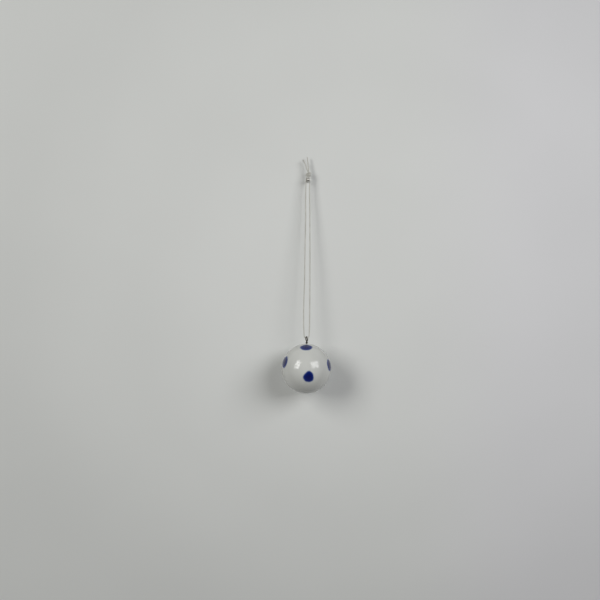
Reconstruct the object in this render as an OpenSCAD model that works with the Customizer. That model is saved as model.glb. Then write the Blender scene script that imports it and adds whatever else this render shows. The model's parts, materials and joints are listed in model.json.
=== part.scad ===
// Porcelain ball bell with a wire eye, on a knotted cord loop. Millimetres, +Z up, the front faces -Y.
// The origin is the hanging point: the centre of the nail or hook that the loop hangs on.

/* [Ball] */
// Outside diameter of the porcelain ball
ball_d = 40.5; // [36:0.5:44]
// Thickness of the porcelain wall
wall = 2.4; // [2:0.1:3]

/* [Sound slit] */
// Width of the slit under the ball
slit_w = 3; // [2:0.5:4]
// Distance between the round holes at the slit's ends
slit_span = 19; // [16:1:20]
// Diameter of the round hole at each end of the slit
slit_end_d = 6.2; // [6.2:0.2:7]

/* [Cobalt dots] */
// Diameter of a dot
dot_d = 9; // [7:0.5:10]
// Depth that the cobalt lies in the glaze
dot_depth = 0.15; // [0.1:0.05:0.2]

/* [Wire hanger] */
// Diameter of the wire
wire_d = 0.9; // [0.8:0.05:0.9]
// Diameter of the hole in the eye
eye_hole_d = 2.3; // [2.2:0.1:2.4]
// Height of the eye's centre above the top of the ball
eye_rise = 4.1; // [3.6:0.1:5]
// Gap between the cord and the top of the eye, which rests on it
eye_gap = 0.1; // [0.05:0.05:0.1]
// Turn of the eye's plane away from the front-to-back plane, in degrees
eye_turn = 26; // [0:1:26]
// Radial clearance of the twisted neck in the hole on top of the ball
neck_gap = 0.08; // [0.05:0.01:0.1]
// Angle that each leg spreads under the dome, seen from the ball's centre
leg_angle = 30; // [20:1:35]
// Gap between the legs and the dome
leg_gap = 0.2; // [0.15:0.05:0.3]

/* [Pellet] */
// Diameter of the loose pellet
pellet_d = 9.5; // [8.5:0.5:10]
// Gap between the pellet and the wall that it rolls on
pellet_gap = 0.3; // [0.3:0.05:0.5]

/* [Cord] */
// Diameter of the cord
cord_d = 1; // [0.8:0.1:1]
// Height of the knot
knot_h = 5.8; // [5:0.2:6.4]
// Width of the knot
knot_w = 5.4; // [4.8:0.2:6]
// Depth of the knot from front to back
knot_depth = 4.2; // [3.6:0.2:5]

/* [Hidden] */

porcelain = [0.93, 0.93, 0.90];
cobalt = [0.04, 0.08, 0.30];
dark_wire = [0.28, 0.27, 0.26];
bisque = [0.88, 0.85, 0.79];
cotton = [0.90, 0.88, 0.80];

ball_r = ball_d / 2;
inner_r = ball_r - wall;

// Where each dot is: its turn from the front, positive to +X, and its height above the ball's equator.
// Three rings of three, each ring staggered against the next, as a hand dabs them on.
dots = [[-2, 59], [118, 60], [239, 57],
        [-66, 15], [69.5, 9], [180, 12],
        [5, -18], [126, -20], [246, -17]];

// Route of the loop, as [x, z], from inside the knot, past the left of the nail, through the eye and back.
loop_route = [
    [-0.6, 4], [-1.1, 1.8], [-1.4, 0], [-1.5, -3], [-1.75, -8], [-1.8, -18], [-1.6, -30], [-1.75, -45],
    [-1.95, -60], [-2, -75], [-2.2, -90], [-2.5, -103], [-2.65, -114], [-2.55, -122], [-2.25, -127],
    [-2.1, -129.5], [-2.05, -130.8], [-1.8, -131.8], [-1.1, -132.55], [0, -132.85],
    [1.1, -132.55], [1.8, -131.8], [2.05, -130.8], [2.1, -129.5], [2.2, -127], [2.35, -122],
    [2.4, -114], [2.4, -103], [2.35, -90], [2.3, -75], [2.2, -60], [2, -45], [1.85, -30], [1.6, -18],
    [1.4, -8], [1.4, -3], [1.4, 0], [1.1, 1.8], [0.6, 4]];
end_left_route = [[-0.5, 6.5], [-0.9, 9], [-1.6, 12], [-2.8, 14.8], [-4.7, 17.3]];
end_up_route = [[0.7, 6.5], [0.5, 9], [0.1, 12], [-0.3, 15.5], [-0.8, 19.9]];
knot_place = [0.3, 0, 5];

// The eye hangs on the lowest point of the loop, and the ball hangs under the eye.
loop_bottom = min([for (p = loop_route) p[1]]);
eye_z = loop_bottom + cord_d / 2 + eye_gap - eye_hole_d / 2;
eye_r = (eye_hole_d + wire_d) / 2;
centre_z = eye_z - eye_rise - ball_r;

// The neck is the wire's two ends twisted together, so it is two wires wide.
neck_r = wire_d;
leg_r = inner_r - leg_gap - wire_d / 2;
pellet_orbit = inner_r - pellet_gap - pellet_d / 2;

function unit(v) = v / norm(v);

// Catmull-Rom point at t between p[i] and p[i + 1].
function between(p, i, t) =
    let (a = p[max(i - 1, 0)], b = p[i], c = p[i + 1], d = p[min(i + 2, len(p) - 1)])
    b + t / 2 * (c - a + t * (2 * a - 5 * b + 4 * c - d + t * (3 * b - 3 * c + d - a)));

function smooth(p) = [for (i = [0 : len(p) - 2]) for (t = [0, 0.5]) between(p, i, t), p[len(p) - 1]];

function along(p, i) = unit(p[min(i + 1, len(p) - 1)] - p[max(i - 1, 0)]);

// A round tube that follows a smoothed route in the XZ plane.
module tube(route, d) {
    sides = 8;
    p = smooth(route);
    rings = len(p);
    points = [for (i = [0 : rings - 1]) for (k = [0 : sides - 1])
        let (out = cos(360 * k / sides) * d / 2, ahead = along(p, i))
        [p[i][0] + out * ahead[1], sin(360 * k / sides) * d / 2, p[i][1] - out * ahead[0]]];
    walls = [for (i = [0 : rings - 2]) for (k = [0 : sides - 1])
        let (a = i * sides + k, b = i * sides + (k + 1) % sides) [a, a + sides, b + sides, b]];
    first = [for (k = [0 : sides - 1]) k];
    last = [for (k = [sides - 1 : -1 : 0]) (rings - 1) * sides + k];
    polyhedron(points, concat(walls, [first, last]));
}

// The children, moved from the top of a ball at the origin to each dot's place.
module at_each_dot() {
    for (dot = dots)
        rotate([0, 0, dot[0]]) rotate([90 - dot[1], 0, 0]) children();
}

module sound_slit() {
    translate([0, 0, -ball_d]) linear_extrude(ball_d) {
        square([slit_span, slit_w], center = true);
        for (side = [-1, 1]) translate([side * slit_span / 2, 0]) circle(d = slit_end_d, $fn = 48);
    }
}

module dot_layer() {
    difference() {
        sphere(r = ball_r, $fn = 96);
        sphere(r = ball_r - dot_depth, $fn = 96);
    }
}

module dot_columns() {
    at_each_dot() cylinder(d = dot_d, h = ball_d, $fn = 48);
}

module porcelain_shell() {
    color(porcelain) translate([0, 0, centre_z]) difference() {
        sphere(r = ball_r, $fn = 96);
        sphere(r = inner_r, $fn = 96);
        cylinder(r = neck_r + neck_gap, h = ball_d, $fn = 48);
        sound_slit();
        intersection() {
            dot_layer();
            dot_columns();
        }
    }
}

module cobalt_dots() {
    color(cobalt) translate([0, 0, centre_z]) intersection() {
        dot_layer();
        dot_columns();
    }
}

module wire_hanger() {
    color(dark_wire) {
        translate([0, 0, eye_z]) rotate([0, 0, -eye_turn]) rotate([0, 90, 0])
            rotate_extrude($fn = 64) translate([eye_r, 0]) circle(d = wire_d, $fn = 24);
        translate([0, 0, centre_z + leg_r])
            cylinder(r = neck_r, h = eye_z - eye_r - centre_z - leg_r, $fn = 32);
        translate([0, 0, centre_z]) rotate([90, 0, 0]) rotate([0, 0, 90 - leg_angle])
            rotate_extrude(angle = 2 * leg_angle, $fn = 96) translate([leg_r, 0]) circle(d = wire_d, $fn = 24);
    }
}

module pellet() {
    color(bisque) translate([0, 0, centre_z - pellet_orbit]) sphere(d = pellet_d, $fn = 48);
}

module cord_loop() {
    color(cotton) tube(loop_route, cord_d);
}

module cord_knot() {
    color(cotton) translate(knot_place) scale([knot_w, knot_depth, knot_h]) sphere(d = 1, $fn = 32);
}

module cord_end_left() {
    color(cotton) tube(end_left_route, cord_d);
}

module cord_end_up() {
    color(cotton) tube(end_up_route, cord_d);
}

porcelain_shell();
cobalt_dots();
wire_hanger();
pellet();
cord_loop();
cord_knot();
cord_end_left();
cord_end_up();
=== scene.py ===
"""A porcelain ball bell with cobalt dots. It hangs by a wire eye on a knotted cotton cord, from a nail in a
pale wall.

Shapes are worked out in millimetres in the row frame, and turned into metres when a mesh is made.
"""

import json
import math

import bpy
import numpy as np
from mathutils import Matrix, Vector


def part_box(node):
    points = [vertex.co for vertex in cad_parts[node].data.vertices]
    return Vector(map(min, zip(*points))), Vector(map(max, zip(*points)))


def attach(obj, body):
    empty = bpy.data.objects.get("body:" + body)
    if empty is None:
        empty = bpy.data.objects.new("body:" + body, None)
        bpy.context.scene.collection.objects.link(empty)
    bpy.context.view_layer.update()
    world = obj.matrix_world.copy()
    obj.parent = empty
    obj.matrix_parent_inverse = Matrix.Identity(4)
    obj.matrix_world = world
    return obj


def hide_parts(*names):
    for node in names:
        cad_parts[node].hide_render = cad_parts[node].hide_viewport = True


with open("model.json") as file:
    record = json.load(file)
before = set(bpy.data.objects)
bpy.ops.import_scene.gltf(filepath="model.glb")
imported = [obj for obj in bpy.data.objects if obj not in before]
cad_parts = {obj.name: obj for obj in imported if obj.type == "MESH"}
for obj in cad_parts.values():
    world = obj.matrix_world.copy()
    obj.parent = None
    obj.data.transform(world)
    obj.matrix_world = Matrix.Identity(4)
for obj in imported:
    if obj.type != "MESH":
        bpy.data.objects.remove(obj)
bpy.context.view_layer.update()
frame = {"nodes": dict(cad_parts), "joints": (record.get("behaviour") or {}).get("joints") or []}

MM = 0.001
joints = {j["name"]: j for j in frame["joints"]}


def node_points(node):
    """The CAD node's vertices in millimetres."""
    return np.array([v.co for v in frame["nodes"][node].data.vertices], float) / MM


CENTRE = np.array(joints["ball_swivel"]["pos_m"], float) / MM
shell_reach = np.linalg.norm(node_points("porcelain_shell") - CENTRE, axis=1)
BALL_R = shell_reach.max()
INNER_R = shell_reach.min()
EYE_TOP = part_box("wire_hanger")[1].z / MM
WIRE_R = 0.45

# ------------------------------------------------------------------ camera

# In the photo the ball rests on an upright wall and the cord leans. Here the cord hangs plumb, so the wall and
# the camera lean together.
WALL_LEAN = math.radians(5.44)
CAMERA_ROLL = math.radians(0.54)
CAMERA_FROM_CENTRE = np.array([-5.73, -533.3, 5.5])

camera_data = bpy.data.cameras.new("camera")
camera_data.sensor_width = 36
camera_data.lens = 38.9
camera_data.clip_start = 0.01
camera = bpy.data.objects.new("camera", camera_data)
bpy.context.scene.collection.objects.link(camera)
camera.matrix_world = (
    Matrix.Translation(((CENTRE + CAMERA_FROM_CENTRE) * MM).tolist())
    @ Matrix.Rotation(math.pi / 2 + WALL_LEAN, 4, "X")
    @ Matrix.Rotation(CAMERA_ROLL, 4, "Z")
)
bpy.context.scene.camera = camera

# ------------------------------------------------------------------ mesh helpers


def unit(v):
    v = np.asarray(v, float)
    return v / np.linalg.norm(v, axis=-1, keepdims=True)


def new_object(name, points, faces, smooth=True):
    mesh = bpy.data.meshes.new(name)
    mesh.from_pydata((np.asarray(points, float) * MM).tolist(), [], [list(f) for f in faces])
    mesh.update()
    if smooth:
        mesh.shade_smooth()
    obj = bpy.data.objects.new(name, mesh)
    bpy.context.scene.collection.objects.link(obj)
    return obj


def attribute(obj, name, values):
    obj.data.attributes.new(name, "FLOAT", "POINT").data.foreach_set("value", np.asarray(values, np.float32))


def through(route, steps=8):
    """A smooth line through the route's points."""
    p = np.asarray(route, float)
    out = []
    for i in range(len(p) - 1):
        a, b, c, d = p[max(i - 1, 0)], p[i], p[i + 1], p[min(i + 2, len(p) - 1)]
        for t in np.arange(steps) / steps:
            out.append(b + t / 2 * (c - a + t * (2 * a - 5 * b + 4 * c - d + t * (3 * b - 3 * c + d - a))))
    return np.array(out + [p[-1]])


def softened(p, rounds):
    """The same line with its corners rounded off."""
    p = p.copy()
    for _ in range(rounds):
        p[1:-1] += 0.25 * (p[:-2] - 2 * p[1:-1] + p[2:])
    return p


def travelled(p):
    """How far along the line each point is."""
    return np.concatenate([[0], np.cumsum(np.linalg.norm(np.diff(p, axis=0), axis=1))])


def even(p, step=None, count=None):
    """The same line with points an even distance apart."""
    s = travelled(p)
    count = count or int(round(s[-1] / step)) + 1
    at = np.linspace(0, s[-1], count)
    return np.stack([np.interp(at, s, p[:, k]) for k in range(3)], 1)


def directions(p):
    return unit(np.gradient(p, axis=0))


def carried_frame(p, first):
    """Tangents and two side directions that don't twist about the line."""
    t = directions(p)
    side = np.zeros_like(p)
    side[0] = unit(first - t[0] * np.dot(first, t[0]))
    for i in range(1, len(p)):
        side[i] = unit(side[i - 1] - t[i] * np.dot(side[i - 1], t[i]))
    return t, side, np.cross(t, side)


DOME_TURNS = np.radians([20, 42, 62, 78])


def tube(line, radius, sides, start_dome=True, end_dome=True, first=(0, 1, 0)):
    """Vertices and faces of a round tube. A domed end is rounded off; any other is closed flat."""
    line = np.asarray(line, float)
    radius = np.broadcast_to(np.asarray(radius, float), (len(line),)).copy()
    t, a, b = carried_frame(line, np.asarray(first, float))
    rings, radii, aa, bb = [line], [radius], [a], [b]
    domed = len(DOME_TURNS)
    if start_dome:
        rings.insert(0, np.array([line[0] - t[0] * radius[0] * np.sin(q) for q in DOME_TURNS[::-1]]))
        radii.insert(0, radius[0] * np.cos(DOME_TURNS[::-1]))
        aa.insert(0, np.repeat(a[:1], domed, 0))
        bb.insert(0, np.repeat(b[:1], domed, 0))
    if end_dome:
        rings.append(np.array([line[-1] + t[-1] * radius[-1] * np.sin(q) for q in DOME_TURNS]))
        radii.append(radius[-1] * np.cos(DOME_TURNS))
        aa.append(np.repeat(a[-1:], domed, 0))
        bb.append(np.repeat(b[-1:], domed, 0))
    rings, radii = np.concatenate(rings), np.concatenate(radii)
    aa, bb = np.concatenate(aa), np.concatenate(bb)
    q = np.arange(sides) * 2 * np.pi / sides
    around = aa[:, None] * np.cos(q)[None, :, None] + bb[:, None] * np.sin(q)[None, :, None]
    points = rings[:, None] + around * radii[:, None, None]
    return points.reshape(-1, 3), tube_faces(len(rings), sides)


def tube_faces(rings, sides):
    faces = []
    for i in range(rings - 1):
        for k in range(sides):
            a, b = i * sides + k, i * sides + (k + 1) % sides
            faces.append((a, b, b + sides, a + sides))
    faces.append(tuple(range(sides))[::-1])
    faces.append(tuple((rings - 1) * sides + k for k in range(sides)))
    return faces


def joined(parts):
    """One list of points and faces from several."""
    points, faces, base = [], [], 0
    for p, f in parts:
        points.append(p)
        faces += [tuple(v + base for v in face) for face in f]
        base += len(p)
    return np.concatenate(points), faces


# ------------------------------------------------------------------ material helpers


class Nodes:
    """A material's node tree, written in few lines."""

    def __init__(self, name):
        self.material = bpy.data.materials.new(name)
        self.material.use_nodes = True
        self.tree = self.material.node_tree
        self.tree.nodes.clear()
        self.out = self.tree.nodes.new("ShaderNodeOutputMaterial")
        self.shader = self.add("ShaderNodeBsdfPrincipled")
        self.link(self.shader.outputs[0], self.out.inputs["Surface"])

    def add(self, kind, settings=None, **inputs):
        node = self.tree.nodes.new(kind)
        for key, value in (settings or {}).items():
            setattr(node, key, value)
        for key, value in inputs.items():
            self.put(node, key.replace("_", " "), value)
        return node

    def put(self, node, key, value):
        socket = node.inputs[int(key)] if key.isdigit() else node.inputs[key]
        if isinstance(value, bpy.types.NodeSocket):
            self.link(value, socket)
        else:
            socket.default_value = value

    def link(self, a, b):
        self.tree.links.new(a, b)

    def set(self, **inputs):
        for key, value in inputs.items():
            self.put(self.shader, key.replace("_", " "), value)

    def place(self):
        return self.add("ShaderNodeTexCoord").outputs["Object"]

    def noise(self, scale, detail=2.0, rough=0.5):
        node = self.add("ShaderNodeTexNoise", Scale=scale, Detail=detail, Roughness=rough)
        self.link(self.place(), node.inputs["Vector"])
        return node.outputs["Fac"]

    def math(self, operation, a, b):
        node = self.add("ShaderNodeMath", {"operation": operation})
        self.put(node, "0", a)
        self.put(node, "1", b)
        return node.outputs[0]

    def ramp(self, value, stops, ease="LINEAR"):
        node = self.add("ShaderNodeValToRGB")
        node.color_ramp.interpolation = ease
        elements = node.color_ramp.elements
        while len(elements) < len(stops):
            elements.new(0.5)
        for element, (position, colour) in zip(elements, stops):
            element.position = position
            element.color = (*colour[:3], 1)
        self.link(value, node.inputs["Fac"])
        return node.outputs["Color"]

    def scaled(self, value, low, high):
        node = self.add("ShaderNodeMapRange", To_Min=low, To_Max=high)
        self.link(value, node.inputs["Value"])
        return node.outputs["Result"]

    def mix(self, fac, a, b, blend="MIX"):
        """A mix of two colours, whose sockets are 6 and 7."""
        node = self.add("ShaderNodeMix", {"data_type": "RGBA", "blend_type": blend})
        for key, value in ((0, fac), (6, a), (7, b)):
            if isinstance(value, bpy.types.NodeSocket):
                self.link(value, node.inputs[key])
            else:
                node.inputs[key].default_value = value
        return node.outputs[2]

    def bump(self, height, strength, distance):
        node = self.add("ShaderNodeBump", Strength=strength, Distance=distance)
        self.link(height, node.inputs["Height"])
        return node.outputs["Normal"]


def srgb(r, g, b):
    """A linear colour from 8-bit sRGB."""
    return tuple(((c / 255 + 0.055) / 1.055) ** 2.4 if c > 10 else c / 255 / 12.92 for c in (r, g, b)) + (1,)


def grey(v):
    return (v, v, v)


# ------------------------------------------------------------------ cord


# The knot starts as a trefoil: how much of it is cut away at each end, its size, and how far to the side of its
# line each strand starts. It is drawn tight over this share of the steps. Points of one strand nearer along it
# than so many thicknesses aren't kept apart. The last two are how much a round straightens and pushes apart.
TREFOIL_CUT, TREFOIL_SIZE, STRAND_ASIDE = 0.5, 2.2, 0.6
TIGHTENING, NEIGHBOURS = 0.75, 1.5
STRAIGHTEN, PUSH_APART = 0.12, 0.3


def tied_knot(low_left, low_right, top_left, top_right, length, apart, count=80, steps=260, rounds=12):
    """Two strands tied together in one overhand knot, drawn tight: each is a chain of points held an even
    distance apart, and no two points of the cord come nearer than its thickness."""
    t = np.linspace(np.pi + TREFOIL_CUT, 3 * np.pi - TREFOIL_CUT, 200)
    open_knot = TREFOIL_SIZE * np.stack(
        [np.cos(t) - 2 * np.cos(2 * t), -0.5 * np.sin(3 * t), -np.sin(t) - 2 * np.sin(2 * t)], 1
    )
    line = even(np.concatenate([[[0, 0, -14], [0, 0, -9]], open_knot, [[0, 0, 9], [0, 0, 14]]]), count=400)
    for _ in range(200):
        line[1:-1] += 0.5 * ((line[:-2] + line[2:]) / 2 - line[1:-1])
    _, side, _ = carried_frame(line, np.cross(directions(line)[0], [0, 1, 0]))
    one = even(line + side * STRAND_ASIDE, count=count)
    two = even(line - side * STRAND_ASIDE, count=count)
    if one[0, 0] > two[0, 0]:
        one, two = two, one
    strands = np.stack([one, two])
    start_length = np.linalg.norm(np.diff(strands, axis=1), axis=2).sum(1).mean()
    start_ends = strands[:, [0, -1]].copy()
    last_ends = np.array([[low_left, top_left], [low_right, top_right]], float)
    index = np.arange(2 * count)
    same = index[:, None] // count == index[None] // count
    gap = np.abs(index[:, None] % count - index[None] % count)
    once = np.triu(np.ones((2 * count, 2 * count), bool), 1)
    for step in range(steps):
        tight = min(1, (step + 1) / (steps * TIGHTENING))
        rest = start_length * (length / start_length) ** tight / (count - 1)
        ends = start_ends + (last_ends - start_ends) * tight
        near = same & (gap * rest < NEIGHBOURS * apart)
        for _ in range(rounds):
            strands[:, 0], strands[:, -1] = ends[:, 0], ends[:, 1]
            for odd in (0, 1):
                pairs = (count - odd) // 2
                a = strands[:, odd : odd + 2 * pairs : 2]
                b = strands[:, odd + 1 : odd + 2 * pairs : 2]
                d = b - a
                long = np.linalg.norm(d, axis=2, keepdims=True)
                push = d * (0.5 * (long - rest) / np.maximum(long, 1e-9))
                a += push
                b -= push
            midway = (strands[:, :-2] + strands[:, 2:]) / 2
            strands[:, 1:-1] += STRAIGHTEN * (midway - strands[:, 1:-1])
            flat = strands.reshape(-1, 3)
            between = flat[:, None] - flat[None]
            distance = np.sqrt((between**2).sum(2))
            i, j = np.nonzero((distance < apart) & once & ~near)
            if len(i):
                far = distance[i, j][:, None]
                push = between[i, j] / np.maximum(far, 1e-9) * (PUSH_APART * (apart - far))
                np.add.at(flat, i, push)
                np.add.at(flat, j, -push)
            strands = flat.reshape(2, count, 3)
    return strands


# The loop's route in the CAD, x and z in millimetres: down the left of the nail, through the eye and back up.
loop_route = [
    [-0.6, 4], [-1.1, 1.8], [-1.4, 0], [-1.5, -3], [-1.75, -8], [-1.8, -18], [-1.6, -30], [-1.75, -45],
    [-1.95, -60], [-2, -75], [-2.2, -90], [-2.5, -103], [-2.65, -114], [-2.55, -122], [-2.25, -127],
    [-2.1, -129.5], [-2.05, -130.8], [-1.8, -131.8], [-1.1, -132.55], [0, -132.85],
    [1.1, -132.55], [1.8, -131.8], [2.05, -130.8], [2.1, -129.5], [2.2, -127], [2.35, -122],
    [2.4, -114], [2.4, -103], [2.35, -90], [2.3, -75], [2.2, -60], [2, -45], [1.85, -30], [1.6, -18],
    [1.4, -8], [1.4, -3], [1.4, 0], [1.1, 1.8], [0.6, 4],
]
end_left_route = [[-0.5, 6.5], [-0.9, 9], [-1.6, 12], [-2.8, 14.8], [-4.7, 17.3]]
end_up_route = [[0.7, 6.5], [0.5, 9], [0.1, 12], [-0.3, 15.5], [-0.8, 19.9]]
KNOT_AT = np.array([0.3, 0, 5])
# The heights where the routes are cut for the relaxed knot, and where the cord is parted into its pieces.
KNOT_LOW, KNOT_HIGH = 1.85, 8.4
LOOP_PART, TIPS_PART = 1.8, 8.5


def in_3d(route):
    return np.array([[x, 0, z] for x, z in route], float)


loop_line = through(in_3d(loop_route))
loop_line = loop_line[loop_line[:, 2] < KNOT_LOW]
left_tip_line = through(in_3d(end_left_route))
left_tip_line = left_tip_line[left_tip_line[:, 2] > KNOT_HIGH]
up_tip_line = through(in_3d(end_up_route))
up_tip_line = up_tip_line[up_tip_line[:, 2] > KNOT_HIGH]

knot = tied_knot(
    loop_line[0] - KNOT_AT,
    loop_line[-1] - KNOT_AT,
    left_tip_line[0] - KNOT_AT,
    up_tip_line[0] - KNOT_AT,
    length=20,
    apart=1.06,
) + KNOT_AT

# One line for the whole cord, tip to tip.
whole = np.concatenate([
    left_tip_line[:0:-1], knot[0][::-1], loop_line[1:-1], knot[1], up_tip_line[1:],
])
whole = even(whole, step=0.13)
soft = softened(whole, 30)
# Only the knot and the tips are softened: it fades in over the 3 mm about the nail's height.
near_knot = np.clip((whole[:, 2] + 1.5) / 3, 0, 1)[:, None]
whole = even(whole * (1 - near_knot) + soft * near_knot, step=0.26)
done = travelled(whole)

# Where the loop, the knot and the tips part: two low crossings and two high ones.
low = np.nonzero(whole[:, 2] < LOOP_PART)[0]
loop_first, loop_last = low[0], low[-1]
middle = len(whole) // 2
left_split = np.nonzero(whole[:middle, 2] > TIPS_PART)[0][-1]
up_split = middle + np.nonzero(whole[middle:, 2] > TIPS_PART)[0][0]

_, side_a, side_b = carried_frame(whole, np.array([0, 1, 0]))
# A ply's radius, how far its middle is from the cord's, and the length of one turn.
PLY_R, PLY_OUT, PITCH = 0.27, 0.245, 3.2
PLY_SIDES = 8
# How far back a cut end frays, and how far out each of its plies then stands.
FRAY_LONG = 1.6
FRAY_OUT = (0.16, 0.3, 0.22)


def plies(first, last, frayed_start=False, frayed_end=False):
    """Three twisted plies along the whole cord's line from one point to another. Their twist runs on from
    piece to piece."""
    parts = []
    near_start = np.clip(1 - (done - done[first]) / FRAY_LONG, 0, 1) if frayed_start else 0 * done
    near_end = np.clip(1 - (done[last] - done) / FRAY_LONG, 0, 1) if frayed_end else 0 * done
    loose = np.maximum(near_start, near_end)
    for ply in range(3):
        turn = 2 * np.pi * (done / PITCH + ply / 3) + 0.5 * loose * math.sin(2.1 * ply + 1)
        out = PLY_OUT + loose**2 * FRAY_OUT[ply]
        line = whole + side_a * (out * np.cos(turn))[:, None] + side_b * (out * np.sin(turn))[:, None]
        width = PLY_R * (1 - 0.25 * loose) * (1 + 0.035 * np.sin(done * 2.7 + ply * 2))
        begin = first + (ply if frayed_start else 0)
        finish = last - (2 - ply if frayed_end else 0)
        parts.append(
            tube(line[begin : finish + 1], width[begin : finish + 1], PLY_SIDES, frayed_start, frayed_end)
        )
    return parts


cord_loop = new_object("cord_loop_strands", *joined(plies(loop_first, loop_last)))
tip_left = new_object("cord_tip_left", *joined(plies(0, left_split, frayed_start=True)))
tip_up = new_object("cord_tip_up", *joined(plies(up_split, len(whole) - 1, frayed_end=True)))
cord_knot = new_object(
    "cord_knot_tied", *joined(plies(left_split, loop_first) + plies(loop_last, up_split))
)

for piece, node in (
    (cord_loop, "cord_loop"),
    (cord_knot, "cord_knot"),
    (tip_left, "cord_end_left"),
    (tip_up, "cord_end_up"),
):
    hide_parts(node)
    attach(piece, "cord")

cotton = Nodes("cotton")
fibre = cotton.noise(2600, 3, 0.7)
cotton_colour = cotton.ramp(
    cotton.noise(160, 2, 0.5), [(0.3, srgb(210, 209, 201)), (0.7, srgb(228, 227, 221))]
)
cotton_colour = cotton.mix(cotton.scaled(fibre, 0.0, 0.3), cotton_colour, srgb(160, 157, 146), "MULTIPLY")
cotton.set(
    Base_Color=cotton_colour,
    Roughness=cotton.scaled(fibre, 0.8, 0.98),
    Sheen_Weight=0.25,
    Normal=cotton.bump(fibre, 0.6, 0.00006),
)
for piece in (cord_loop, cord_knot, tip_left, tip_up):
    piece.data.materials.append(cotton.material)

# ------------------------------------------------------------------ porcelain

# The ball is a grid of rings, each with this many points. They go from the neck down the outside to the slit,
# up through the wall, and over the inside back to the neck.
COLUMNS = 288
OUTER_RINGS, INNER_RINGS, WALL_RINGS = 124, 56, 3
# Half the slit's width, its end holes' radius and place, and the rounding where they meet.
SLIT_HALF, HOLE_R, HOLE_X, CORNER_R = 1.5, 3.1, 9.5, 0.8
NECK_HOLE_R = 0.98
# How round the edges are, outside and inside.
LIP, INNER_LIP = 0.45, 0.3
NECK_LIP, NECK_INNER_LIP = 0.35, 0.2
# The neck's foot is where the inner sphere's radius from the axis, squared, is this.
NECK_FOOT_SQUARED = 1.4
NECK_WALL_UP = (0.8, 1.4)
# How deep the hand-thrown dips go, and the rings over which they fade out at the slit and the neck.
DIP, CALM_RINGS = 0.035, 14


def slit_quarter(offset, count):
    """A quarter of the slit's outline in plan, from the outer end of the round hole to the middle of the slit,
    moved outward by offset."""
    corner_y = SLIT_HALF + CORNER_R
    corner = np.array([HOLE_X - math.sqrt((HOLE_R + CORNER_R) ** 2 - corner_y**2), corner_y])
    sweep = math.atan2(corner[1], corner[0] - HOLE_X)
    s = np.linspace(0, 1, count)
    arc_long, corner_long, straight_long = HOLE_R * sweep, CORNER_R * (sweep - math.pi / 2), corner[0]
    whole_long = arc_long + corner_long + straight_long
    out = []
    for d in s * whole_long:
        if d <= arc_long:
            a = d / HOLE_R
            out.append((HOLE_X + (HOLE_R + offset) * math.cos(a), (HOLE_R + offset) * math.sin(a)))
        elif d <= arc_long + corner_long:
            a = sweep - math.pi - (d - arc_long) / CORNER_R
            r = CORNER_R - offset
            out.append((corner[0] + r * math.cos(a), corner[1] + r * math.sin(a)))
        else:
            out.append((corner[0] * (whole_long - d) / straight_long, SLIT_HALF + offset))
    return np.array(out)


def slit_outline(offset):
    q = slit_quarter(offset, COLUMNS // 4 + 1)
    flip = q[::-1]
    return np.concatenate([
        q[:-1],
        flip[:-1] * [-1, 1],
        q[:-1] * [-1, -1],
        flip[:-1] * [1, -1],
    ])


def on_sphere(radius, flat):
    """Points of a sphere from their azimuthal-equidistant places about its lowest point."""
    far = np.linalg.norm(flat, axis=1)
    turn = np.arctan2(flat[:, 1], flat[:, 0])
    return radius * np.stack([np.sin(far) * np.cos(turn), np.sin(far) * np.sin(turn), -np.cos(far)], 1)


def flat_of(plan, radius):
    reach = np.linalg.norm(plan, axis=1)
    return plan * (np.arcsin(reach / radius) / reach)[:, None]


def under(plan, radius):
    return np.column_stack([plan, -np.sqrt(radius**2 - (plan**2).sum(1))])


def sphere_rings(radius, offset, rim, rings, ease):
    """Rings over the sphere from the slit's outline to a circle of radius rim round the top."""
    near = flat_of(slit_outline(offset), radius)
    turn = np.arccos(np.clip(near[:, 0] / near[:, 0].max(), -1, 1))
    turn[COLUMNS // 2 + 1 :] *= -1
    far = (math.pi - math.asin(rim / radius)) * np.column_stack([np.cos(turn), np.sin(turn)])
    return [on_sphere(radius, near + (far - near) * w) for w in np.linspace(0, 1, rings) ** ease], turn


def level_ring(circle, radius, z):
    return np.column_stack([circle * radius, np.full(COLUMNS, z)])


outer, turn = sphere_rings(BALL_R, LIP, NECK_HOLE_R + NECK_LIP, OUTER_RINGS, 1.25)
circle = np.column_stack([np.cos(turn), np.sin(turn)])
rings = outer[::-1]
# The glazed lip turns from the outside into the slit.
for a in np.radians([18, 36, 54, 72, 90]):
    rings.append(under(slit_outline(LIP * (1 - math.cos(a))), BALL_R - LIP * (1 - math.sin(a))))
glazed_rings = len(rings)
top_of_wall = under(slit_outline(0), INNER_R + INNER_LIP)
bottom_of_wall = rings[-1]
for w in np.linspace(0, 1, WALL_RINGS + 2)[1:]:
    rings.append(bottom_of_wall + (top_of_wall - bottom_of_wall) * w)
for a in np.radians([30, 60]):
    rings.append(under(slit_outline(INNER_LIP * (1 - math.cos(a))), INNER_R + INNER_LIP * (1 - math.sin(a))))
inner, inner_turn = sphere_rings(
    INNER_R, INNER_LIP, NECK_HOLE_R + NECK_INNER_LIP, INNER_RINGS, 1.1
)
rings += inner
inner_circle = np.column_stack([np.cos(inner_turn), np.sin(inner_turn)])
neck_foot = math.sqrt(INNER_R**2 - NECK_FOOT_SQUARED)
for a in np.radians([45, 90]):
    rings.append(level_ring(
        inner_circle,
        NECK_HOLE_R + NECK_INNER_LIP * (1 - math.sin(a)),
        neck_foot + NECK_INNER_LIP * (1 - math.cos(a)),
    ))
bare_rings = len(rings)
for up in NECK_WALL_UP:
    rings.append(level_ring(circle, NECK_HOLE_R, INNER_R + up))
neck_top = math.sqrt(BALL_R**2 - (NECK_HOLE_R + NECK_LIP) ** 2)
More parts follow.
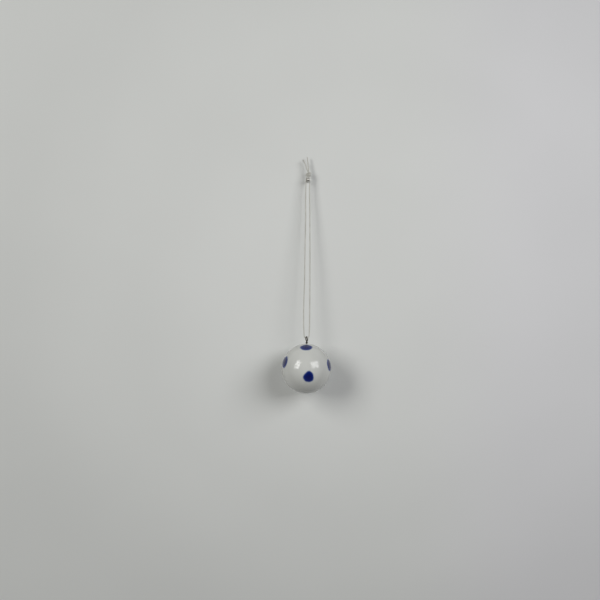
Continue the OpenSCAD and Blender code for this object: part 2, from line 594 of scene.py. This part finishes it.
for a in np.radians([0, 30, 60]):
    rings.append(level_ring(
        circle,
        NECK_HOLE_R + NECK_LIP * (1 - math.cos(a)),
        neck_top - NECK_LIP + NECK_LIP * math.sin(a),
    ))

grid = np.array(rings)

# Thrown by hand: the glazed surface dips in and out by a few hundredths of a millimetre.
outside = grid[:OUTER_RINGS]
way = unit(outside)
wave = (
    np.sin(2.3 * way[..., 0] + 1.1) * np.cos(2.9 * way[..., 2] + 0.4)
    + 0.6 * np.sin(4.1 * way[..., 1] + 2.2 * way[..., 0] + 0.7)
    + 0.4 * np.cos(5.7 * way[..., 2] - 3.1 * way[..., 1] + 1.9)
)
from_edge = np.minimum(np.arange(OUTER_RINGS), np.arange(OUTER_RINGS)[::-1])
calm = np.clip(from_edge / CALM_RINGS, 0, 1)
grid[:OUTER_RINGS] -= way * (DIP * (wave + 2) * (calm**2 * (3 - 2 * calm))[:, None])[..., None]

count = len(grid)
faces = []
for i in range(count):
    n = (i + 1) % count
    for k in range(COLUMNS):
        m = (k + 1) % COLUMNS
        faces.append((i * COLUMNS + k, n * COLUMNS + k, n * COLUMNS + m, i * COLUMNS + m))
bell = new_object("bell_porcelain", grid.reshape(-1, 3) + CENTRE, faces)

# Where the cobalt is. The first two are each dot's turn from the front and height above the equator in the CAD,
# in degrees. The rest is its outline as the brush left it: half width and half height in millimetres, how much
# narrower its top is, and its tilt in radians.
dots = [
    [-2, 59, 5.0, 4.4, 0.0, 0.1],
    [118, 60, 4.5, 4.7, 0.05, 0.6],
    [239, 57, 4.7, 4.4, -0.05, -0.4],
    [-66, 15, 4.75, 4.9, 0.04, 0.12],
    [69.5, 9, 4.7, 4.8, 0.06, -0.1],
    [180, 12, 4.6, 4.5, -0.04, 0.3],
    [5, -18, 4.2, 4.7, 0.16, -0.1],
    [126, -20, 4.6, 4.4, 0.08, 0.2],
    [246, -17, 4.4, 4.7, 0.1, -0.3],
]
# The paint is how far a point is from the nearest dot's middle, as a share of the way to the dot's edge.
UNPAINTED = 9.0
PAINT_LIMIT = 3
# A dot is worked out only on its own side of the ball: the least cosine from its middle.
DOT_SIDE = 0.3
direction = unit(grid[:OUTER_RINGS].reshape(-1, 3))
paint = np.full(len(direction), UNPAINTED)
for number, (azimuth, height, wide, tall, narrow, tilt) in enumerate(dots):
    az, el = math.radians(azimuth), math.radians(height)
    face = np.array([math.sin(az) * math.cos(el), -math.cos(az) * math.cos(el), math.sin(el)])
    right = np.array([math.cos(az), math.sin(az), 0])
    up = np.cross(right, face)
    up *= np.sign(up[2])
    forward = direction @ face
    x = BALL_R * np.arctan2(direction @ right, forward)
    y = BALL_R * np.arctan2(direction @ up, forward)
    x, y = x * math.cos(tilt) + y * math.sin(tilt), y * math.cos(tilt) - x * math.sin(tilt)
    x = x / (wide * (1 - narrow * np.clip(y / tall, -1.2, 1.2)))
    y = y / tall
    angle = np.arctan2(y, x)
    edge = 1 + 0.025 * np.sin(3 * angle + number * 1.7) + 0.018 * np.sin(5 * angle + number * 2.9)
    ratio = np.hypot(x, y) / edge
    ratio[forward < DOT_SIDE] = UNPAINTED
    paint = np.minimum(paint, ratio)
all_paint = np.full(len(grid) * COLUMNS, UNPAINTED)
all_paint[: len(paint)] = paint
attribute(bell, "paint", np.minimum(all_paint, PAINT_LIMIT))

glaze = Nodes("cobalt_on_glazed_porcelain")
paint_at = glaze.add("ShaderNodeAttribute", {"attribute_name": "paint"}).outputs["Fac"]
wander = glaze.math(
    "ADD",
    glaze.scaled(glaze.noise(700, 2), -0.05, 0.05),
    glaze.scaled(glaze.noise(2500, 2), -0.02, 0.02),
)
edge_at = glaze.math("ADD", paint_at, wander)
# The paint is halved for the ramps, which end at 1, so a dot's edge is at 0.5.
amount = glaze.ramp(
    glaze.math("MULTIPLY", edge_at, 0.5),
    [(0.40, grey(1)), (0.475, grey(0.93)), (0.505, grey(0.45)), (0.53, grey(0.16)), (0.62, grey(0))],
)
pooled = glaze.math("ADD", edge_at, glaze.scaled(glaze.noise(380, 3, 0.6), -0.12, 0.12))
cobalt = glaze.ramp(
    glaze.math("MULTIPLY", pooled, 0.5),
    [
        (0.12, srgb(3, 16, 92)),
        (0.32, srgb(5, 26, 106)),
        (0.43, srgb(18, 46, 124)),
        (0.50, srgb(58, 88, 152)),
    ],
)
body = glaze.ramp(glaze.noise(55, 3, 0.5), [(0.3, srgb(214, 215, 210)), (0.7, srgb(221, 222, 218))])
speck_field = glaze.add("ShaderNodeTexVoronoi", {"feature": "F1"}, Scale=240.0)
glaze.link(glaze.place(), speck_field.inputs["Vector"])
speck_shape = glaze.ramp(speck_field.outputs["Distance"], [(0.03, grey(1)), (0.07, grey(0))])
speck_pick = glaze.ramp(glaze.noise(120, 0), [(0.60, grey(0)), (0.66, grey(1))])
speck = glaze.math("MULTIPLY", glaze.scaled(speck_shape, 0, 0.5), speck_pick)
body = glaze.mix(speck, body, srgb(120, 104, 84))
glaze.set(
    Base_Color=glaze.mix(amount, body, cobalt),
    Roughness=glaze.scaled(glaze.noise(90, 2), 0.10, 0.17),
    IOR=1.5,
    Normal=glaze.bump(glaze.noise(160, 2, 0.4), 0.015, 0.0002),
)

clay = Nodes("bare_bisque")
grain = clay.noise(1800, 4, 0.6)
clay.set(
    Base_Color=clay.ramp(clay.noise(120, 3), [(0.3, srgb(206, 200, 186)), (0.7, srgb(220, 215, 202))]),
    Roughness=clay.scaled(grain, 0.75, 0.95),
    Normal=clay.bump(grain, 0.35, 0.00008),
)
bell.data.materials.append(glaze.material)
bell.data.materials.append(clay.material)
bare = np.zeros(len(faces), np.int32)
bare[(glazed_rings + 1) * COLUMNS : bare_rings * COLUMNS] = 1
bell.data.polygons.foreach_set("material_index", bare)
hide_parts("porcelain_shell", "cobalt_dots")
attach(bell, "bell")

# ------------------------------------------------------------------ wire hanger

EYE_R = 1.6
EYE_Z = EYE_TOP - WIRE_R - EYE_R
EYE_TURN = math.radians(28)
EYE_LEAN = math.radians(4)
EYE_ASIDE = 0.1
# Half the part of the ring that is open, where the wire turns down into the neck.
EYE_OPEN = math.radians(35)
LEG_GAP = 0.2
LEG_R = INNER_R - LEG_GAP - WIRE_R
LEG_FROM, LEG_TO = 5.2, 30
NECK_OUT = 0.45
# How far the twist ends under the ring and above the legs.
NECK_UNDER_EYE, NECK_OVER_LEGS = 0.35, 0.2
eye_up = np.array([-math.sin(EYE_LEAN), 0, math.cos(EYE_LEAN)])
ring_way = np.array([
    math.cos(EYE_LEAN) * math.sin(EYE_TURN), math.cos(EYE_TURN), math.sin(EYE_LEAN) * math.sin(EYE_TURN)
])
neck_high = EYE_Z - EYE_R - NECK_UNDER_EYE
neck_low = CENTRE[2] + LEG_R + NECK_OVER_LEGS


def around_eye(angle):
    return np.array([EYE_ASIDE, 0, EYE_Z]) + EYE_R * (ring_way * math.sin(angle) - eye_up * math.cos(angle))


ring = [around_eye(a) for a in np.linspace(EYE_OPEN, 2 * math.pi - EYE_OPEN, 60)]
start_turn = math.atan2(ring_way[1], ring_way[0])
full_turn = math.pi + 2 * math.pi - start_turn
helix = []
for w in np.linspace(0, 1, 90):
    a = start_turn + full_turn * w
    z = neck_high + (neck_low - neck_high) * w
    helix.append(np.array([NECK_OUT * math.cos(a), NECK_OUT * math.sin(a), z]))
helix = np.array(helix)
# The neck is upright in its hole, and above the ball it bends over to meet the leaning ring.
ball_top = CENTRE[2] + BALL_R
above = np.clip((helix[:, 2] - ball_top) / (neck_high - ball_top), 0, 1)
neck_middle = np.zeros_like(helix)
neck_middle[:, 0] = (EYE_ASIDE + EYE_R * math.sin(EYE_LEAN)) * above**2 * (3 - 2 * above)


def leg(side):
    """From the foot of the neck out under the dome."""
    out = [np.array([side * 0.62, 0, neck_low - 0.28]), np.array([side * 1.0, 0, CENTRE[2] + LEG_R - 0.04])]
    for a in np.radians(np.linspace(LEG_FROM, LEG_TO, 30)):
        out.append(np.array([side * LEG_R * math.sin(a), 0, CENTRE[2] + LEG_R * math.cos(a)]))
    return out


opposite = helix * [-1, -1, 1] + neck_middle
helix = helix + neck_middle
wire_line = np.concatenate([leg(-1)[::-1], helix[::-1], ring, opposite, leg(1)])
wire_line = even(softened(even(wire_line, step=0.1), 10), step=0.16)
hanger = new_object("hanger_wire", *tube(wire_line, WIRE_R, 16))

metal = Nodes("darkened_wire")
scale_marks = metal.noise(900, 4, 0.6)
worn = metal.noise(260, 3, 0.6)
metal.set(
    Base_Color=metal.mix(
        metal.ramp(worn, [(0.42, grey(0)), (0.66, grey(1))]), srgb(72, 70, 68), srgb(112, 106, 99)
    ),
    Metallic=0.85,
    Roughness=metal.scaled(scale_marks, 0.32, 0.58),
    Normal=metal.bump(scale_marks, 0.35, 0.00003),
)
hanger.data.materials.append(metal.material)
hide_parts("wire_hanger")
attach(hanger, "hanger")

# ------------------------------------------------------------------ pellet

low_pellet, high_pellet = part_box("pellet")
pellet_centre = np.array((low_pellet + high_pellet) / 2) / MM
pellet_r = (high_pellet.x - low_pellet.x) / 2 / MM
points, faces = [], []
ROWS, COLS = 40, 64
# The clay's size and how far it is uneven, as shares of the CAD pellet's radius, so that it stays inside it.
PELLET_SIZE, PELLET_LUMPS = 0.965, 0.012
for i in range(1, ROWS):
    e = math.pi * i / ROWS
    for k in range(COLS):
        a = 2 * math.pi * k / COLS
        points.append((math.sin(e) * math.cos(a), math.sin(e) * math.sin(a), math.cos(e)))
points += [(0, 0, 1), (0, 0, -1)]
for i in range(ROWS - 2):
    for k in range(COLS):
        m = (k + 1) % COLS
        faces.append((i * COLS + k, (i + 1) * COLS + k, (i + 1) * COLS + m, i * COLS + m))
for k in range(COLS):
    m = (k + 1) % COLS
    faces.append(((ROWS - 1) * COLS, k, m))
    faces.append(((ROWS - 1) * COLS + 1, (ROWS - 2) * COLS + m, (ROWS - 2) * COLS + k))
points = np.array(points)
lumps = (
    np.sin(3.1 * points[:, 0] + 2.3 * points[:, 1] + 0.5)
    + np.cos(3.7 * points[:, 2] - 2.6 * points[:, 0] + 1.3)
    + 0.5 * np.sin(6.5 * points[:, 1] + 4.1 * points[:, 2])
)
points *= (pellet_r * (PELLET_SIZE + PELLET_LUMPS * lumps))[:, None]
pellet = new_object("bell_pellet", points + pellet_centre, faces)
pellet.data.materials.append(clay.material)
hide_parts("pellet")
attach(pellet, "pellet")

# ------------------------------------------------------------------ wall and nail

wall_up = np.array([0, -math.sin(WALL_LEAN), math.cos(WALL_LEAN)])
wall_out = np.array([0, -math.cos(WALL_LEAN), -math.sin(WALL_LEAN)])
wall_right = np.array([1.0, 0, 0])
WALL_GAP = 0.2
SPREAD = 3000
touch = CENTRE - wall_out * (BALL_R + WALL_GAP)


def on_wall(right, up):
    return touch + wall_right * right + wall_up * up


wall = new_object(
    "wall",
    [on_wall(-SPREAD, -SPREAD), on_wall(SPREAD, -SPREAD), on_wall(SPREAD, SPREAD), on_wall(-SPREAD, SPREAD)],
    [(0, 1, 2, 3)],
    smooth=False,
)
plaster = Nodes("wall_paint_with_painted_light")
stipple = plaster.noise(420, 4, 0.6)
wall_paint_and_painted_light = plaster.ramp(plaster.noise(9, 2), [(0.3, (0.775, 0.785, 0.765)), (0.7, (0.795, 0.805, 0.785))])
# Painted light on the wall: its colour is lightest beside the bell and painted darker further out, a painted
# falloff of the windows' light, and it turns a little bluer and brighter to the right, a painted cool light.
PAINTED_LIGHT_AT = CENTRE + [45, 15, 66]
middle_of_wall = plaster.add("ShaderNodeVectorMath", {"operation": "DISTANCE"})
plaster.link(plaster.place(), middle_of_wall.inputs[0])
middle_of_wall.inputs[1].default_value = tuple(PAINTED_LIGHT_AT * MM)
# Painted shade: the wall's colour is multiplied darker the further it is from the point beside the bell.
wall_paint_and_painted_light = plaster.mix(
    1.0,
    wall_paint_and_painted_light,
    plaster.ramp(
        plaster.math("MULTIPLY", middle_of_wall.outputs["Value"], 2.0),
        [(0.0, grey(1)), (0.2, grey(0.99)), (0.42, grey(0.935)), (0.65, grey(0.86))],
        "EASE",
    ),
    "MULTIPLY",
)
wall_x = plaster.add("ShaderNodeSeparateXYZ")
plaster.link(plaster.place(), wall_x.inputs[0])
# Painted light: a bluer, slightly brighter tint is multiplied into the wall's colour towards the right.
wall_paint_and_painted_light = plaster.mix(
    1.0,
    wall_paint_and_painted_light,
    plaster.ramp(
        plaster.math("MULTIPLY", wall_x.outputs["X"], 4.0),
        [(0.25, grey(1)), (0.8, (1.01, 0.995, 1.035))],
        "EASE",
    ),
    "MULTIPLY",
)
plaster.set(
    Base_Color=wall_paint_and_painted_light,
    Roughness=0.9,
    Normal=plaster.bump(stipple, 0.12, 0.0003),
)
# The wall is seen from its front only, and fades out between these distances in metres, so that views from the
# side and behind stay clear.
FADE_FROM, FADE_TO = 0.5, 1.1
clear = plaster.add("ShaderNodeBsdfTransparent")
one_sided = plaster.add("ShaderNodeMixShader")
faded = plaster.add(
    "ShaderNodeMapRange", {"interpolation_type": "SMOOTHSTEP"}, From_Min=FADE_FROM, From_Max=FADE_TO
)
plaster.link(middle_of_wall.outputs["Value"], faded.inputs["Value"])
backfacing = plaster.add("ShaderNodeNewGeometry").outputs["Backfacing"]
plaster.link(plaster.math("MAXIMUM", backfacing, faded.outputs["Result"]), one_sided.inputs[0])
plaster.link(plaster.shader.outputs[0], one_sided.inputs[1])
plaster.link(clear.outputs[0], one_sided.inputs[2])
plaster.link(one_sided.outputs[0], plaster.out.inputs["Surface"])
wall.data.materials.append(plaster.material)

# The nail runs from 1 mm inside the wall through the top of the loop to a domed head in front of the cord.
SHANK_R, SHANK_END = 0.8, -1.4
HEAD_R, HEAD_DEEP, HEAD_BACK = 1.55, 1.3, -1.35
nail_wall = np.dot(touch, wall_out) / wall_out[1]
shank = tube([[0, nail_wall + 1, 0], [0, SHANK_END, 0]], SHANK_R, 20, False, False, first=(1, 0, 0))
dome = np.radians(np.linspace(90, 4, 14))
head_line = [[0, HEAD_BACK - HEAD_DEEP * math.cos(a), 0] for a in dome]
head = tube(head_line, HEAD_R * np.sin(dome), 32, False, False, first=(1, 0, 0))
nail = new_object("nail", *joined([shank, head]))
steel = Nodes("nail_steel")
steel.set(
    Base_Color=srgb(196, 194, 188),
    Metallic=1.0,
    Roughness=steel.scaled(steel.noise(900, 3), 0.22, 0.34),
)
nail.data.materials.append(steel.material)

# The wall takes no part in diffuse light, or the ball's back would be black where it rests against it.
wall.visible_diffuse = False

# ------------------------------------------------------------------ light


def window(name, way, far, wide, tall, radiance, colour, turn=0):
    """A soft rectangular light, like a window. Its way from the ball is right, up and out of the wall, and its
    distance is in metres. Its width, height and turn are in degrees, as the ball sees them."""
    data = bpy.data.lights.new(name, "AREA")
    data.shape = "RECTANGLE"
    data.size = 2 * far * math.tan(math.radians(wide) / 2)
    data.size_y = 2 * far * math.tan(math.radians(tall) / 2)
    data.energy = radiance * math.pi * data.size * data.size_y
    data.color = colour
    light = bpy.data.objects.new(name, data)
    bpy.context.scene.collection.objects.link(light)
    back = unit(wall_right * way[0] + wall_up * way[1] + wall_out * way[2])
    across = unit(np.cross(wall_up, back))
    over = np.cross(back, across)
    lean = math.radians(turn)
    across, over = (
        across * math.cos(lean) - over * math.sin(lean),
        over * math.cos(lean) + across * math.sin(lean),
    )
    matrix = Matrix(np.column_stack([across, over, back]).tolist()).to_4x4()
    matrix.translation = (CENTRE * MM + back * far).tolist()
    light.matrix_world = matrix
    light.visible_camera = False


window("window_right", (0.9, 0.55, 1), far=1.5, wide=35, tall=27, radiance=5.4, colour=(0.985, 0.99, 1.0))
window(
    "window_left", (-0.96, 0.53, 1), far=1.5, wide=20, tall=33, radiance=7.0, colour=(1.0, 1.0, 0.975), turn=9
)

# The room's light comes mostly from straight below, little from the horizon and above, and evenly from behind
# the wall. The camera sees an even pale grey.
FROM_BELOW, FROM_ABOVE = 0.19, 0.012
FROM_BEHIND = (0.40, 0.405, 0.40, 1)
SEEN_BY_CAMERA = (0.56, 0.57, 0.56, 1)

world = bpy.data.worlds.new("room")
bpy.context.scene.world = world
world.use_nodes = True
tree = world.node_tree
background = tree.nodes["Background"]
background.inputs["Strength"].default_value = 1.0
sky = tree.nodes.new("ShaderNodeTexCoord")
height = tree.nodes.new("ShaderNodeSeparateXYZ")
level = tree.nodes.new("ShaderNodeMapRange")
behind = tree.nodes.new("ShaderNodeMapRange")
for node, values in ((level, (-1.0, 0.0, FROM_BELOW, FROM_ABOVE)), (behind, (0.0, 0.3, 0.0, 1.0))):
    for key, value in zip(("From Min", "From Max", "To Min", "To Max"), values):
        node.inputs[key].default_value = value
room = tree.nodes.new("ShaderNodeMix")
room.data_type = "RGBA"
room.inputs[7].default_value = FROM_BEHIND
seen = tree.nodes.new("ShaderNodeLightPath")
shade = tree.nodes.new("ShaderNodeMix")
shade.data_type = "RGBA"
tree.links.new(sky.outputs["Generated"], height.inputs[0])
tree.links.new(height.outputs["Z"], level.inputs["Value"])
tree.links.new(seen.outputs["Is Camera Ray"], shade.inputs[0])
tree.links.new(height.outputs["Y"], behind.inputs["Value"])
tree.links.new(behind.outputs["Result"], room.inputs[0])
tree.links.new(level.outputs["Result"], room.inputs[6])
tree.links.new(room.outputs[2], shade.inputs[6])
shade.inputs[7].default_value = SEEN_BY_CAMERA
tree.links.new(shade.outputs[2], background.inputs["Color"])
bpy.context.scene.view_settings.view_transform = "Standard"

# ------------------------------------------------------------------ update

bpy.context.view_layer.update()
